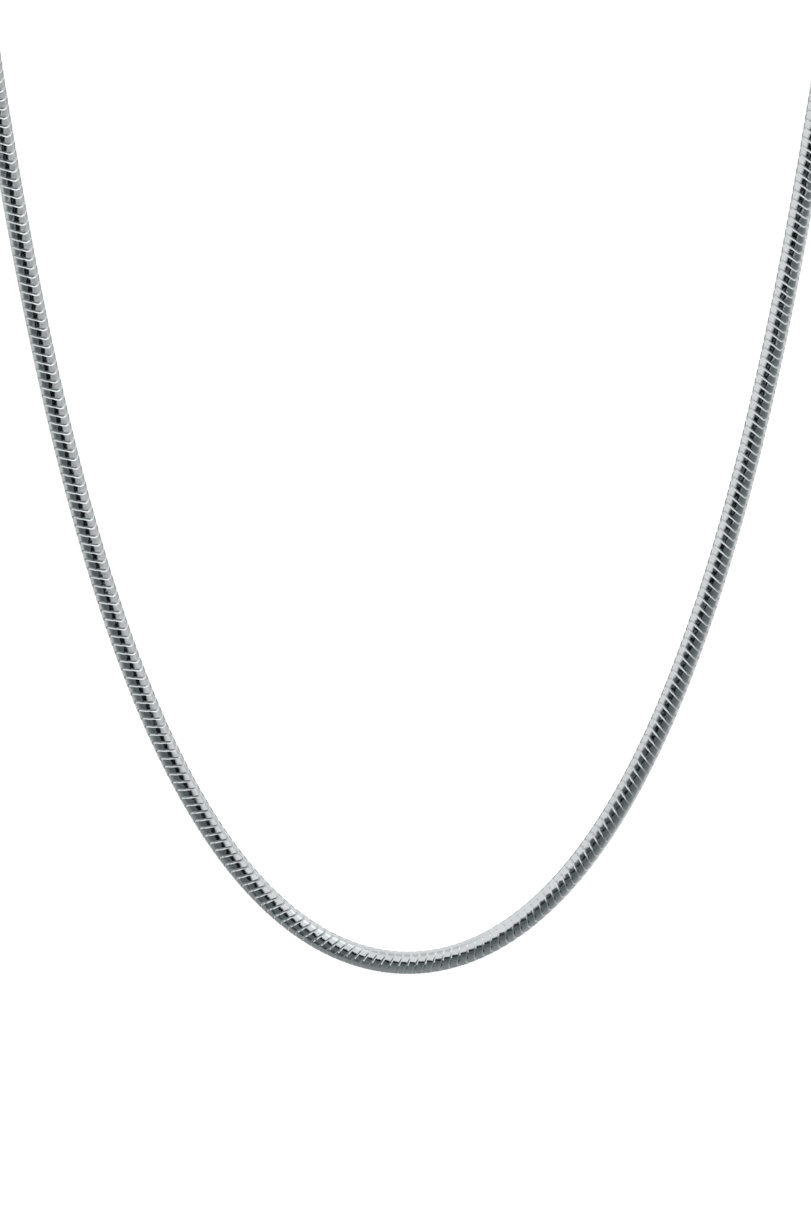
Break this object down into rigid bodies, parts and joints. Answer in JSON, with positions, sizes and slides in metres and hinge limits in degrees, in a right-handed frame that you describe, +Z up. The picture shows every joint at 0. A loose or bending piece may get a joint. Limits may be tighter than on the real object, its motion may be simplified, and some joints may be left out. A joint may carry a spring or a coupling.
{
  "type": "snake chain necklace",
  "caption": "Round snake chain necklace with end caps, jump rings and a plain hook clasp, keeping the curve in which it hangs from a neck.",
  "frame": {"origin": "middle of the neck hollow, at the height of the chain's underside where it lies over the shoulders", "axes": "+Z up, -Y the front where the chain hangs, +Y the nape with the clasp, +X to the right seen from the front"},
  "size_m": [0.1234, 0.1023, 0.1615],
  "materials": {
    "chain": "polished sterling silver with a bright white plating",
    "findings": "polished sterling silver, solder joints cleaned up"
  },
  "bodies": {
    "root": {"snake_chain": "chain", "end_cap_left": "findings", "end_cap_right": "findings", "jump_ring_left": "findings", "jump_ring_right": "findings", "lobster_clasp": "findings"}
  },
  "joints": []
}
